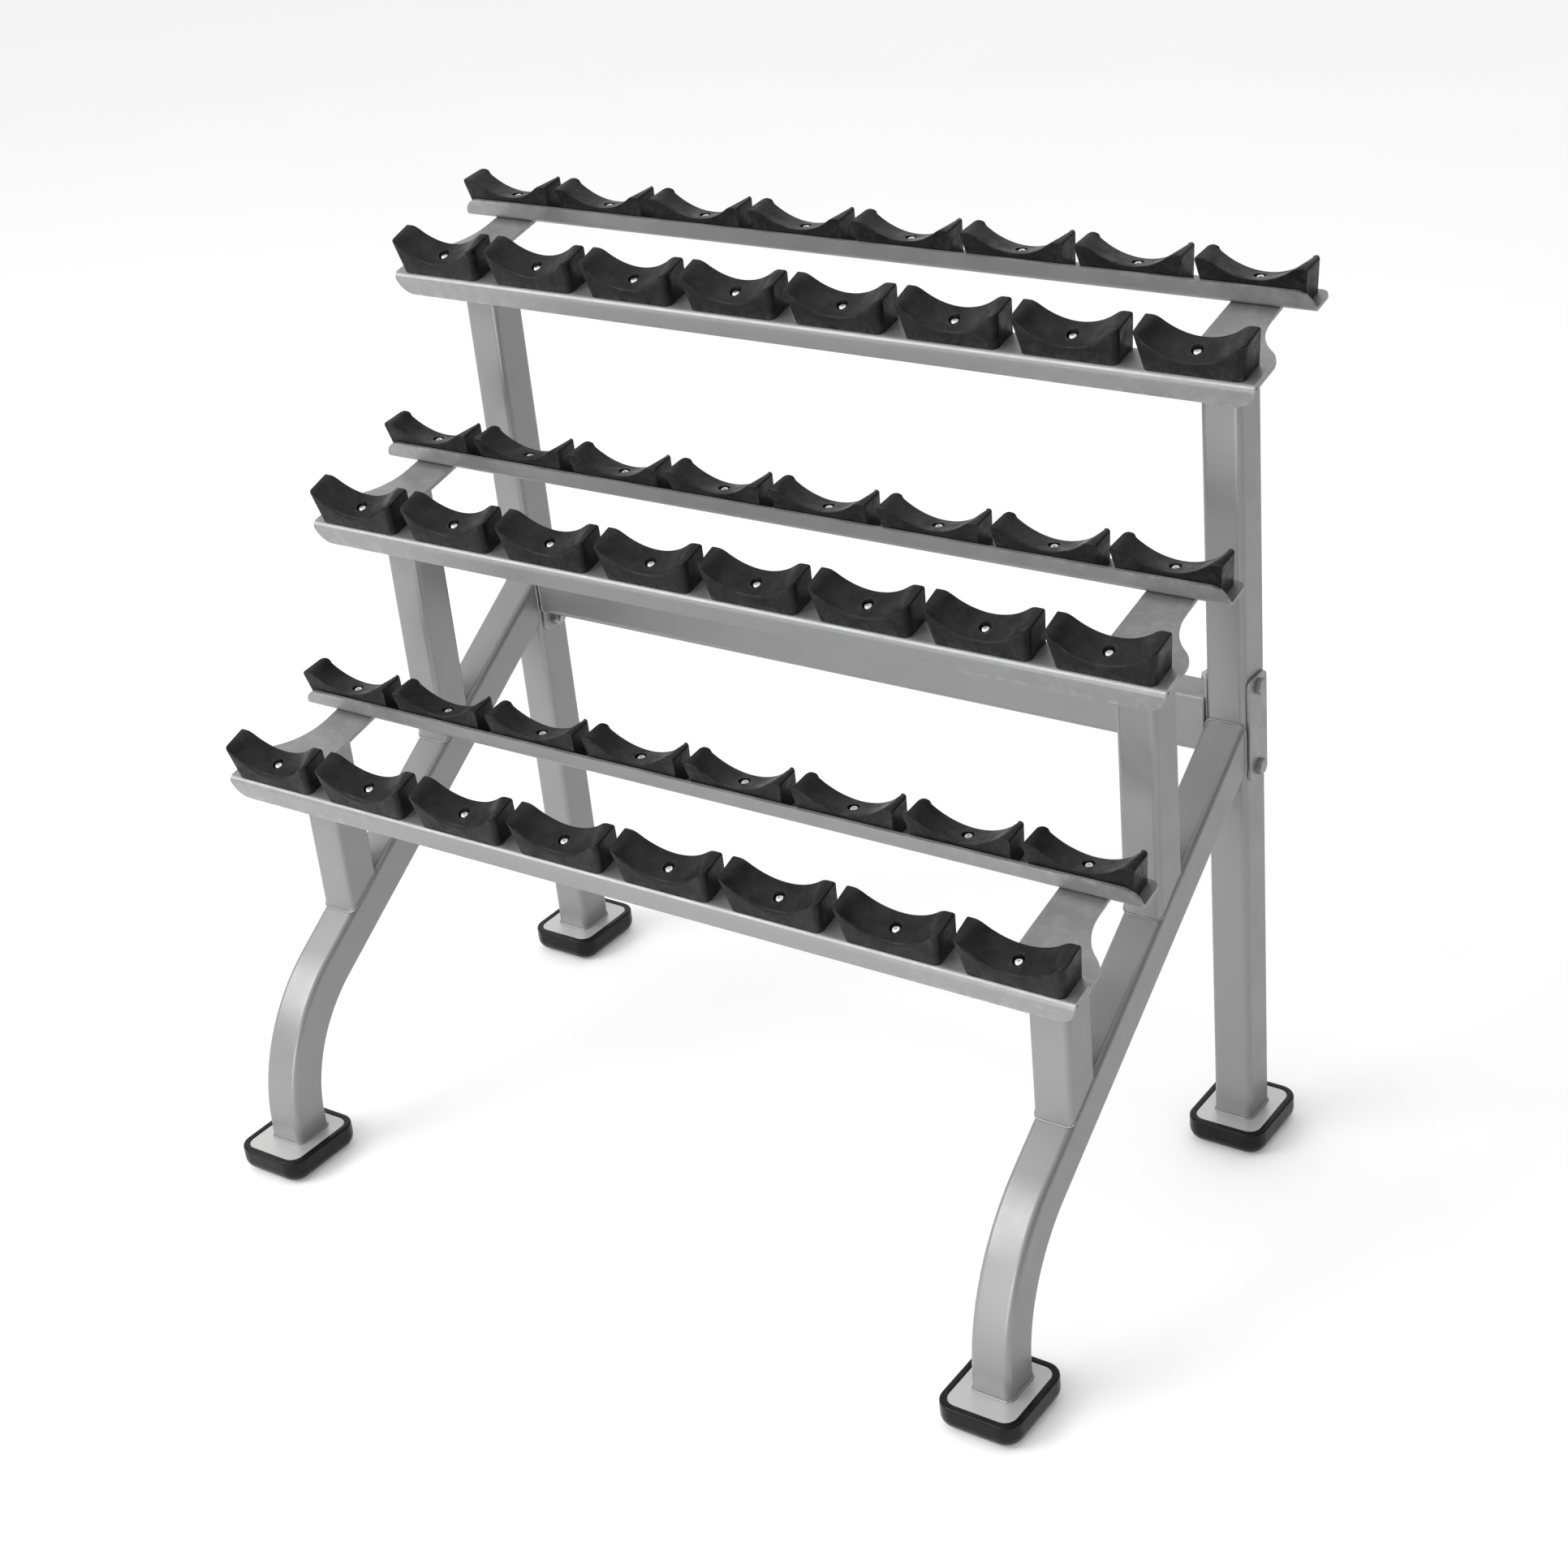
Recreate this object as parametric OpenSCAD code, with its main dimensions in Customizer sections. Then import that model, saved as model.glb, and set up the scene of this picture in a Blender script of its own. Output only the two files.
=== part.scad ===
// Three-tier dumbbell rack: two welded side frames, a bolted cross beam and six rails of moulded saddles.
// Millimetres. Origin on the floor under the middle of the rack, +X to its right, +Y to its back, +Z up.

/* [Trays] */
// Distance from one saddle to the next along a rail
saddle_pitch = 150; // [140:1:165]
// Saddles on each rail
saddle_count = 8; // [4:1:8]
// Rail left over beyond the last screw at each end
rail_end = 73.5; // [68:0.5:90]
// Distance between the front and rear screw rows of a tray
tray_rows = 156; // [144:1:180]
// Backward rise of every tray, in degrees
tray_tilt = 13; // [9:0.5:17]
// Height of the top tray's screw heads, half way between its rails
top_height = 1056; // [1000:1:1150]
// Drop from one tray to the next
tier_drop = 258; // [240:1:290]
// Step forward from one tray to the next
tier_setback = 214; // [200:1:235]

/* [Rails] */
// Steel thickness of the rails
rail_steel = 4; // [3:0.5:5]
// Depth of the flat web that carries the saddles
rail_web = 44; // [43:1:48]
// Height of the front rails' downward flange
front_flange = 28; // [26:1:36]
// Height of the rear rails' upward flange
rear_flange = 25; // [22:1:27]
// Outside radius of the fold in a rail
fold_r = 8; // [6:0.5:10]

/* [Saddles] */
// Depth of a saddle across its rail
saddle_depth = 38; // [34:1:38]
// Width of a saddle where it stands on the rail
saddle_base = 121; // [110:1:126]
// How far each end leans out from base to top
saddle_flare = 7.5; // [4:0.5:9]
// Height of the horns on the side facing the other rail
horn_inner = 47; // [43:0.5:50]
// Height of the horns on the outer side
horn_outer = 43.5; // [40:0.5:46]
// Radius of the round trough
trough_r = 82; // [78:1:90]
// Height of the trough's lowest line at the inner side
trough_inner = 27; // [25:0.5:30]
// Height of the trough's lowest line at the outer side
trough_outer = 16; // [15.5:0.5:20]

/* [Side frames] */
// Width of the frame tubes, side to side
tube_w = 50; // [44:1:56]
// Depth of the frame tubes, front to back
tube_d = 54; // [46:1:56]
// Wall of every tube
tube_wall = 2.5; // [2:0.5:3.5]
// Distance from the lower post to the front foot
leg_forward = 161; // [145:1:200]
// Radius of the front leg's bend, on its centre line
bend_r = 220; // [180:1:240]
// Slope of the straight diagonal, in degrees
diagonal_slope = 34; // [31:0.5:38]
// Thickness of the plates that carry the rails
arm_steel = 5; // [4:0.5:6]
// Width of those plates
arm_w = 60; // [56:1:66]

/* [Cross beam] */
// Height of the beam's middle above the floor
beam_z = 568; // [540:1:640]
// Height of the beam tube
beam_h = 75; // [60:1:80]
// Depth of the beam tube
beam_d = 50; // [40:1:50]
// Distance between the two bolts at each end
bolt_spacing = 103; // [101:1:120]
// Thickness of the end plates and clamp plates
plate_steel = 4; // [3:0.5:8]

/* [Feet] */
// Width of a foot plate
foot_w = 86; // [80:1:100]
// Depth of a foot plate
foot_d = 102; // [90:1:120]
// Height of the rubber boots
boot_h = 34; // [26:1:44]
// Rubber around the edge of each plate
boot_rim = 8.5; // [6:0.5:11]

/* [Hidden] */
$fn = 64;

// Tiers, counted from the top
top = 0;
middle = 1;
lower = 2;

// Heights in a tray, above or below the top of its screw heads
web_top = -18;
web_under = web_top - rail_steel;
arm_under = web_under - arm_steel;
// Gap between a saddle and the flange beside it, and from a rail's folded face to its screw row
saddle_gap = 1;
fold_to_row = saddle_depth / 2 + saddle_gap + rail_steel;
row = tray_rows / 2;
rail_half = saddle_pitch * (saddle_count - 1) / 2 + rail_end;

// Side frames: the tubes stand under the last screw of each rail
frame_x = saddle_pitch * (saddle_count - 1) / 2;
left = -1;
right = 1;
tube_r = 8;
outer_face = frame_x + tube_w / 2;
inner_face = frame_x - tube_w / 2 - plate_steel;
leg_y = -2 * tier_setback - leg_forward;
plate_top = boot_h - 1;
bend_start = plate_top + 18;
bend_turn = 90 - diagonal_slope;
diagonal_y = leg_y + bend_r * (1 - cos(bend_turn));
diagonal_z = bend_start + bend_r * sin(bend_turn);
foot_plate_steel = 6;
joint_overlap = 1;
joint_shave = 0.05;
front_foot_y = leg_y - 7;

// Screws and bolts
screw_r = 3;
screw_head_r = 5.6;
screw_head_h = 4.5;
screw_floor = -2.5;
screw_beyond_nut = 2;
counterbore_r = 7.2;
nut_h = 5;
bolt_r = 5;
bolt_head_h = 6.5;
bolt_nut_h = 8;
hole_play = 0.4;

// The origin sits half way between the front boots and the back of the top tray's arms
rack_front = front_foot_y - foot_d / 2 - boot_rim;
rack_back = (row - fold_to_row + rail_web) * cos(tray_tilt) - arm_under * sin(tray_tilt);
centre_y = (rack_front + rack_back) / 2;

// ---- shared shapes ----

module rounded_rect(w, d, r) {
  square([w - 2 * r, d], center = true);
  square([w, d - 2 * r], center = true);
  for (x = [-1, 1], y = [-1, 1])
    translate([x * (w / 2 - r), y * (d / 2 - r)]) circle(r);
}

// Hollow tube outline; shave takes that much off the wall, outside and inside
module tube_section(w, d, r, shave = 0) {
  bore = 2 * (tube_wall - shave);
  difference() {
    rounded_rect(w - 2 * shave, d - 2 * shave, r - shave);
    rounded_rect(w - bore, d - bore, r - tube_wall + shave);
  }
}

// Moves from the rear uprights' own frame to the rack's frame
module rack() {
  translate([0, -centre_y, 0]) children();
}

// Draws a right-hand part, or the same part on the left
module on_side(side) {
  rack() if (side < 0) mirror([1, 0, 0]) children();
  else children();
}

// A tray's own frame: Y up its slope, Z square to it, origin between its rails at screw-head height
module on_tray(tier) {
  translate([0, -tier * tier_setback, top_height - tier * tier_drop])
    rotate([tray_tilt, 0, 0]) children();
}

// The diagonal's own frame: Y along it, origin where the bend ends
module on_diagonal() {
  translate([frame_x, diagonal_y, diagonal_z]) rotate([diagonal_slope, 0, 0]) children();
}

// All the space above the underside of a tray's arms
module above_arm(tier) {
  on_tray(tier) translate([0, -700, arm_under]) cube([1500, 1400, 1200]);
}

// ---- side frames ----

module beam_bolt_holes(r) {
  for (end = [-1, 1])
    translate([frame_x - 60, 0, beam_z + end * bolt_spacing / 2]) rotate([0, 90, 0]) cylinder(120, r, r);
}

module rear_upright() {
  color("silver") difference() {
    translate([frame_x, 0, plate_top]) linear_extrude(top_height) tube_section(tube_w, tube_d, tube_r);
    above_arm(top);
    beam_bolt_holes(bolt_r + hole_play);
  }
}

// Short upright leg, bend and straight diagonal in one tube, cut off at the rear upright's face
module front_leg() {
  color("silver") difference() {
    union() {
      translate([frame_x, leg_y, plate_top])
        linear_extrude(bend_start - plate_top) tube_section(tube_w, tube_d, tube_r);
      translate([frame_x, leg_y + bend_r, bend_start]) rotate([90, 0, -90])
        rotate_extrude(angle = bend_turn) translate([bend_r, 0]) tube_section(tube_d, tube_w, tube_r);
      // The straight starts just inside the bend, its wall a hair thinner, so that both join in one solid
      on_diagonal() translate([0, -joint_overlap, 0]) rotate([-90, 0, 0])
        linear_extrude(-leg_y * 1.2) tube_section(tube_w, tube_d, tube_r, joint_shave);
    }
    translate([0, -tube_d / 2, 0]) cube([frame_x + 100, 600, top_height + 200]);
  }
}

module short_post(tier) {
  color("silver") difference() {
    translate([frame_x, -tier * tier_setback, 0])
      linear_extrude(top_height) tube_section(tube_w, tube_d, tube_r);
    above_arm(tier);
    on_diagonal() translate([-100, -300, tube_d / 2 - joint_shave - 800]) cube([200, 1000, 800]);
  }
}

// Plate on top of a post, with a round ear that reaches out under the end of the front rail
module arm(tier) {
  ear_r = 38;
  ear = [rail_half - ear_r, 23 - row];
  edge = frame_x + arm_w / 2;
  ease_y = 115 - row;
  rise = ease_y - ear[1];
  reach = edge - ear[0];
  ease_r = (reach * reach + rise * rise - ear_r * ear_r) / (2 * (ear_r - reach));
  share = ear_r / (ear_r + ease_r);
  meet = [ear[0] + (edge + ease_r - ear[0]) * share, ear[1] + rise * share];
  front = -row - 15;
  color("silver") on_tray(tier) translate([0, 0, arm_under]) linear_extrude(arm_steel) difference() {
    union() {
      translate([frame_x - arm_w / 2, front]) square([arm_w, row - fold_to_row + rail_web - front]);
      translate([edge - 5, front]) square([rail_half - edge + 5, ear[1] - front]);
      translate(ear) circle(ear_r);
      polygon([[edge - 5, ear[1]], meet, [edge, ease_y], [edge - 5, ease_y]]);
    }
    translate([edge + ease_r, ease_y]) circle(ease_r);
    for (side = [-1, 1]) translate([frame_x, side * row]) circle(screw_r + hole_play);
  }
}

// ---- feet ----

module foot_plate(y) {
  color("gainsboro") translate([frame_x, y, plate_top - foot_plate_steel])
    linear_extrude(foot_plate_steel) rounded_rect(foot_w, foot_d, 15);
}

// Cross-section of a boot, rounded along its bottom edges
module boot_section(w) {
  r = 17;
  translate([-w / 2, r]) square([w, boot_h - r]);
  translate([-w / 2 + r, 0]) square([w - 2 * r, boot_h]);
  for (side = [-1, 1]) translate([side * (w / 2 - r), r]) circle(r);
}

module boot(y) {
  w = foot_w + 2 * boot_rim;
  d = foot_d + 2 * boot_rim;
  r = 23;
  color("dimgray") translate([frame_x, y, 0]) difference() {
    union() {
      translate([0, d / 2 - r, 0]) rotate([90, 0, 0]) linear_extrude(d - 2 * r) boot_section(w);
      translate([r - w / 2, 0, 0]) rotate([90, 0, 90]) linear_extrude(w - 2 * r) boot_section(d);
      for (x = [-1, 1], y = [-1, 1]) translate([x * (w / 2 - r), y * (d / 2 - r), 0])
        rotate_extrude() intersection() {
          boot_section(2 * r);
          square([r, boot_h]);
        }
    }
    translate([0, 0, plate_top - foot_plate_steel]) linear_extrude(boot_h) rounded_rect(foot_w, foot_d, 15);
  }
}

// ---- cross beam ----

module cross_beam() {
  color("silver") rack() translate([-inner_face, 0, beam_z]) rotate([90, 0, 90])
    linear_extrude(2 * inner_face) tube_section(beam_d, beam_h, 10);
}

// Bolted plate with its flat inner side at x
module beam_plate(x) {
  color("silver") difference() {
    translate([x, 0, beam_z]) rotate([90, 0, 90])
      linear_extrude(plate_steel) rounded_rect(45, bolt_spacing + 26, 9);
    beam_bolt_holes(bolt_r + hole_play);
  }
}

module beam_bolts() {
  outside = outer_face + plate_steel;
  shank = tube_w + 2 * plate_steel + bolt_nut_h + 3;
  color("gainsboro") rack() for (side = [-1, 1], end = [-1, 1])
    translate([side * outside, 0, beam_z + end * bolt_spacing / 2]) rotate([0, side * 90, 0]) {
      cylinder(bolt_head_h, 9.8, 9.8, $fn = 6);
      translate([0, 0, -shank]) cylinder(shank + 1, bolt_r, bolt_r);
    }
}

module beam_nuts() {
  color("gainsboro") rack() for (side = [-1, 1], end = [-1, 1])
    translate([side * inner_face, 0, beam_z + end * bolt_spacing / 2]) rotate([0, side * -90, 0])
      difference() {
        cylinder(bolt_nut_h, 9.8, 9.8, $fn = 6);
        translate([0, 0, -1]) cylinder(bolt_nut_h + 2, bolt_r, bolt_r);
      }
}

// ---- rails ----

// Folded steel: web along +X, flange along +Y, outside of the fold at the origin
module fold_section(flange) {
  translate([fold_r, 0]) square([rail_web - fold_r, rail_steel]);
  translate([0, fold_r]) square([rail_steel, flange - fold_r]);
  translate([fold_r, fold_r]) difference() {
    intersection() {
      circle(fold_r);
      translate([-fold_r, -fold_r]) square(fold_r);
    }
    circle(fold_r - rail_steel);
  }
}

// What is cut off a strip with its free side at y = edge, to leave a round corner at both ends
module end_corners(edge, r) {
  for (end = [-1, 1]) translate([end * (rail_half - r), edge - r]) difference() {
    translate([end < 0 ? -r - 1 : 0, 0]) square(r + 1);
    circle(r);
  }
}

// A rail lying web down and flange up, its fold along the X axis
module rail_blank(flange) {
  difference() {
    translate([-rail_half, 0, 0]) rotate([90, 0, 90]) linear_extrude(2 * rail_half) fold_section(flange);
    translate([0, rail_steel + 1, 0]) rotate([90, 0, 0]) linear_extrude(rail_steel + 2)
      end_corners(flange, flange - 3);
    translate([0, 0, -1]) linear_extrude(rail_steel + 2) end_corners(rail_web, 12);
  }
}

module screw_holes() {
  for (k = [0 : saddle_count - 1])
    translate([saddle_x(k), 0, web_under - 5]) cylinder(30, screw_r + hole_play, screw_r + hole_play);
}

module front_rail(tier) {
  color("silver") rack() on_tray(tier) translate([0, -row, 0]) difference() {
    translate([0, -fold_to_row, web_top]) mirror([0, 0, 1]) rail_blank(front_flange);
    screw_holes();
  }
}

module rear_rail(tier) {
  color("silver") rack() on_tray(tier) translate([0, row, 0]) difference() {
    translate([0, -fold_to_row, web_under]) rail_blank(rear_flange);
    screw_holes();
  }
}

// ---- saddles ----

function saddle_x(k) = (k - (saddle_count - 1) / 2) * saddle_pitch;

// One saddle standing on the rail, its outer side towards -Y
module saddle() {
  half_base = saddle_base / 2;
  half_top = half_base + saddle_flare;
  half = saddle_depth / 2;
  corner_r = 7;
  trough_slope = atan((trough_inner - trough_outer) / saddle_depth);
  top_slope = atan((horn_inner - horn_outer) / saddle_depth);
  relief = fold_r - rail_steel + 1;
  difference() {
    intersection() {
      // Ends lean out from base to top
      translate([0, half, 0]) rotate([90, 0, 0]) linear_extrude(saddle_depth)
        polygon([[-half_base, 0], [half_base, 0], [half_top, horn_inner], [-half_top, horn_inner]]);
      // Round corners on the outer side, seen from above
      linear_extrude(horn_inner) difference() {
        translate([-half_top, -half]) square([2 * half_top, saddle_depth]);
        for (end = [-1, 1])
          translate([end * (half_top - corner_r), corner_r - half]) difference() {
            translate([end < 0 ? -corner_r - 1 : 0, -corner_r - 1]) square(corner_r + 1);
            circle(corner_r);
          }
      }
    }
    // Round trough, falling towards the outer side
    translate([0, half, trough_inner]) rotate([trough_slope, 0, 0])
      translate([0, 20, trough_r]) rotate([90, 0, 0])
        cylinder(saddle_depth + 60, trough_r, trough_r, $fn = 128);
    // Tops of the horns
    translate([-saddle_base, half, horn_inner]) rotate([top_slope, 0, 0])
      translate([0, -saddle_depth - 20, 0]) cube([2 * saddle_base, saddle_depth + 40, 30]);
    // Room for the inside of the rail's fold
    translate([-saddle_base, half, -relief]) rotate([45, 0, 0])
      translate([0, -1, 0]) cube([2 * saddle_base, 2 * relief, relief * sqrt(2)]);
    // Screw hole and counterbore
    translate([0, 0, -1]) cylinder(trough_inner, screw_r + hole_play, screw_r + hole_play);
    translate([0, 0, screw_floor - web_top]) cylinder(30, counterbore_r, counterbore_r);
  }
}

// A rail's saddles; the front rows face forwards and the rear rows backwards
module saddles(tier, end) {
  color([0.15, 0.15, 0.15]) rack() on_tray(tier) for (k = [0 : saddle_count - 1])
    translate([saddle_x(k), end * row, web_top]) rotate([0, 0, end < 0 ? 0 : 180]) saddle();
}

// Where a saddle's nut bears: the last one at each end holds the arm plate as well as the rail
function nut_top(k) = k == 0 || k == saddle_count - 1 ? arm_under : web_under;

module saddle_screws(tier) {
  color("gainsboro") rack() on_tray(tier) for (k = [0 : saddle_count - 1], end = [-1, 1])
    translate([saddle_x(k), end * row, 0]) {
      screw_end = nut_top(k) - nut_h - screw_beyond_nut;
      translate([0, 0, screw_floor]) cylinder(screw_head_h, screw_head_r, screw_head_r - 1);
      translate([0, 0, screw_end]) cylinder(screw_floor - screw_end + 1, screw_r, screw_r);
    }
}

module saddle_nuts(tier) {
  color("gainsboro") rack() on_tray(tier) for (k = [0 : saddle_count - 1], end = [-1, 1])
    translate([saddle_x(k), end * row, nut_top(k) - nut_h]) difference() {
      cylinder(nut_h, 5.8, 5.8, $fn = 6);
      translate([0, 0, -1]) cylinder(nut_h + 2, screw_r, screw_r);
    }
}

// ---- the rack ----

on_side(left) rear_upright();  // left_rear_upright
on_side(right) rear_upright();  // right_rear_upright
on_side(left) front_leg();  // left_front_leg
on_side(right) front_leg();  // right_front_leg
on_side(left) short_post(middle);  // left_middle_post
on_side(right) short_post(middle);  // right_middle_post
on_side(left) short_post(lower);  // left_lower_post
on_side(right) short_post(lower);  // right_lower_post
on_side(left) arm(top);  // left_top_arm
on_side(right) arm(top);  // right_top_arm
on_side(left) arm(middle);  // left_middle_arm
on_side(right) arm(middle);  // right_middle_arm
on_side(left) arm(lower);  // left_lower_arm
on_side(right) arm(lower);  // right_lower_arm
on_side(left) foot_plate(front_foot_y);  // left_front_foot_plate
on_side(right) foot_plate(front_foot_y);  // right_front_foot_plate
on_side(left) foot_plate(0);  // left_rear_foot_plate
on_side(right) foot_plate(0);  // right_rear_foot_plate
on_side(left) boot(front_foot_y);  // left_front_boot
on_side(right) boot(front_foot_y);  // right_front_boot
on_side(left) boot(0);  // left_rear_boot
on_side(right) boot(0);  // right_rear_boot
cross_beam();
on_side(left) beam_plate(inner_face);  // left_beam_end_plate
on_side(right) beam_plate(inner_face);  // right_beam_end_plate
on_side(left) beam_plate(outer_face);  // left_clamp_plate
on_side(right) beam_plate(outer_face);  // right_clamp_plate
beam_bolts();
beam_nuts();
front_rail(top);  // top_front_rail
rear_rail(top);  // top_rear_rail
front_rail(middle);  // middle_front_rail
rear_rail(middle);  // middle_rear_rail
front_rail(lower);  // lower_front_rail
rear_rail(lower);  // lower_rear_rail
saddles(top, -1);  // top_front_saddles
saddles(top, 1);  // top_rear_saddles
saddles(middle, -1);  // middle_front_saddles
saddles(middle, 1);  // middle_rear_saddles
saddles(lower, -1);  // lower_front_saddles
saddles(lower, 1);  // lower_rear_saddles
saddle_screws(top);  // top_saddle_screws
saddle_screws(middle);  // middle_saddle_screws
saddle_screws(lower);  // lower_saddle_screws
saddle_nuts(top);  // top_saddle_nuts
saddle_nuts(middle);  // middle_saddle_nuts
saddle_nuts(lower);  // lower_saddle_nuts
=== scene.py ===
"""Looks of the three-tier dumbbell rack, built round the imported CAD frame."""

import math

import bmesh
import bpy
from mathutils import Matrix, Vector, noise


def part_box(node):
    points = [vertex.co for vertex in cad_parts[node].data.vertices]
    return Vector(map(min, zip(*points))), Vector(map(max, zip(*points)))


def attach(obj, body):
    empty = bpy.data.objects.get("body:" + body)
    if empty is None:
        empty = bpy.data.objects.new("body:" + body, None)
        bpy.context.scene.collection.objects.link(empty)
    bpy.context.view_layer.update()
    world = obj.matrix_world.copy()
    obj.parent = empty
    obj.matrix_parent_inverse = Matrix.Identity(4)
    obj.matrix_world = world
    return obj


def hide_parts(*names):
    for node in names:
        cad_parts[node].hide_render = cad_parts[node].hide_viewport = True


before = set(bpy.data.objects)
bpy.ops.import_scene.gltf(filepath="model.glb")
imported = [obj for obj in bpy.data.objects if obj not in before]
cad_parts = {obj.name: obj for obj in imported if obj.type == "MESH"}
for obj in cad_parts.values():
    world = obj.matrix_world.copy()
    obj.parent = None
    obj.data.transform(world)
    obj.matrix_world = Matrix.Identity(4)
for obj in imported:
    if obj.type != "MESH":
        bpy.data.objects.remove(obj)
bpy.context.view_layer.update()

# ---------------------------------------------------------------- sizes, in metres
MM = 0.001
upright_low, upright_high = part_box("right_rear_upright")
FRAME_X = (upright_low.x + upright_high.x) / 2
REAR_Y = (upright_low.y + upright_high.y) / 2
TUBE_W = upright_high.x - upright_low.x
TUBE_D = upright_high.y - upright_low.y
TUBE_R = 8 * MM
RAIL_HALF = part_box("top_front_rail")[1].x

TIERS = ("top", "middle", "lower")
TOP_HEIGHT = 1056 * MM
TIER_DROP = 258 * MM
TIER_SETBACK = 214 * MM
TILT = math.radians(13)
ROW = 78 * MM
SADDLES = 8
PITCH = 2 * FRAME_X / (SADDLES - 1)

WEB_TOP = -18 * MM
RAIL_STEEL = 4 * MM
WEB_UNDER = WEB_TOP - RAIL_STEEL
ARM_STEEL = 5 * MM
ARM_UNDER = WEB_UNDER - ARM_STEEL
FOLD_TO_ROW = 24 * MM
RAIL_WEB = 44 * MM
FRONT_FLANGE = 28 * MM
REAR_FLANGE = 25 * MM
FOLD_R = 8 * MM
WEB_CORNER_R = 12 * MM
ARM_W = 60 * MM

PLATE_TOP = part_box("right_rear_foot_plate")[1].z
LEG_Y = REAR_Y - 2 * TIER_SETBACK - 161 * MM
BEND_R = 220 * MM
SLOPE = math.radians(34)
BEND_START = PLATE_TOP + 18 * MM
BEND_TURN = math.pi / 2 - SLOPE
BEAM_Z = 568 * MM
BOLT_SPACING = 103 * MM


def tray(tier):
    """Frame of a tray: Y up its slope, Z square to it, at screw-head height between its rails."""
    place = Matrix.Translation((0, REAR_Y - tier * TIER_SETBACK, TOP_HEIGHT - tier * TIER_DROP))
    return place @ Matrix.Rotation(TILT, 4, "X")


def saddle_x(k):
    return (k - (SADDLES - 1) / 2) * PITCH


# ---------------------------------------------------------------- materials


class Nodes:
    """Short names for building one material."""

    def __init__(self, name):
        self.material = bpy.data.materials.new(name)
        self.material.use_nodes = True
        self.tree = self.material.node_tree
        self.shader = self.tree.nodes["Principled BSDF"]
        self.place = self.new("ShaderNodeTexCoord").outputs["Object"]

    def new(self, kind, **settings):
        node = self.tree.nodes.new(kind)
        for key, value in settings.items():
            setattr(node, key, value)
        return node

    def link(self, out, into):
        self.tree.links.new(out, into)

    def set(self, **values):
        for key, value in values.items():
            self.shader.inputs[key.replace("_", " ")].default_value = value

    def noise(self, scale, detail=3.0, roughness=0.55, stretch=None):
        source = self.place
        if stretch:
            mapping = self.new("ShaderNodeMapping")
            mapping.inputs["Scale"].default_value = stretch
            self.link(source, mapping.inputs["Vector"])
            source = mapping.outputs["Vector"]
        texture = self.new("ShaderNodeTexNoise")
        texture.inputs["Scale"].default_value = scale
        texture.inputs["Detail"].default_value = detail
        texture.inputs["Roughness"].default_value = roughness
        self.link(source, texture.inputs["Vector"])
        return texture.outputs["Fac"]

    def spread(self, value, low, high, out_low=0.0, out_high=1.0):
        """value from low..high to out_low..out_high, held at the ends."""
        node = self.new("ShaderNodeMapRange")
        for key, number in zip(("From Min", "From Max", "To Min", "To Max"), (low, high, out_low, out_high)):
            node.inputs[key].default_value = number
        self.link(value, node.inputs["Value"])
        return node.outputs["Result"]

    def times(self, a, b):
        node = self.new("ShaderNodeMath", operation="MULTIPLY")
        for socket, value in zip(node.inputs, (a, b)):
            if isinstance(value, (int, float)):
                socket.default_value = value
            else:
                self.link(value, socket)
        return node.outputs[0]

    def blend(self, share, a, b):
        """Colour a where share is 0 and b where it is 1."""
        node = self.new("ShaderNodeMix", data_type="RGBA")
        self.link(share, node.inputs["Factor"])
        for socket, value in ((node.inputs[6], a), (node.inputs[7], b)):
            if isinstance(value, tuple):
                socket.default_value = (*value, 1)
            else:
                self.link(value, socket)
        return node.outputs[2]

    def edge(self):
        """Share of a vertex that lies on an outside edge, written by finish_mesh."""
        return self.new("ShaderNodeAttribute", attribute_name="edge").outputs["Fac"]

    def bump(self, height, strength, distance, before=None):
        node = self.new("ShaderNodeBump")
        node.inputs["Strength"].default_value = strength
        node.inputs["Distance"].default_value = distance
        self.link(height, node.inputs["Height"])
        if before:
            self.link(before, node.inputs["Normal"])
        return node.outputs["Normal"]


def silver_paint(name, tone):
    """Satin silver powder coat: metal flake, orange peel, faint handling marks, thinner paint on edges."""
    m = Nodes(name)
    flake = m.noise(2600, 1.0)
    cloud = m.noise(7, 4.0)
    peel = m.noise(420, 2.0)
    rubbed = m.times(m.edge(), m.spread(m.noise(60, 5.0, 0.7), 0.45, 0.65))
    base = m.blend(m.spread(flake, 0.35, 0.65), tuple(0.90 * c for c in tone), tuple(1.08 * c for c in tone))
    base = m.blend(m.spread(cloud, 0.3, 0.7, 0.0, 0.35), base, tuple(0.84 * c for c in tone))
    base = m.blend(m.times(rubbed, 0.55), base, (0.55, 0.55, 0.54))
    m.link(base, m.shader.inputs["Base Color"])
    m.link(m.spread(m.noise(24, 5.0, 0.65), 0.3, 0.7, 0.33, 0.45), m.shader.inputs["Roughness"])
    m.set(Metallic=0.55)
    grain = m.bump(flake, 0.10, 0.05 * MM)
    m.link(m.bump(peel, 0.22, 0.12 * MM, grain), m.shader.inputs["Normal"])
    return m.material


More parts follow.
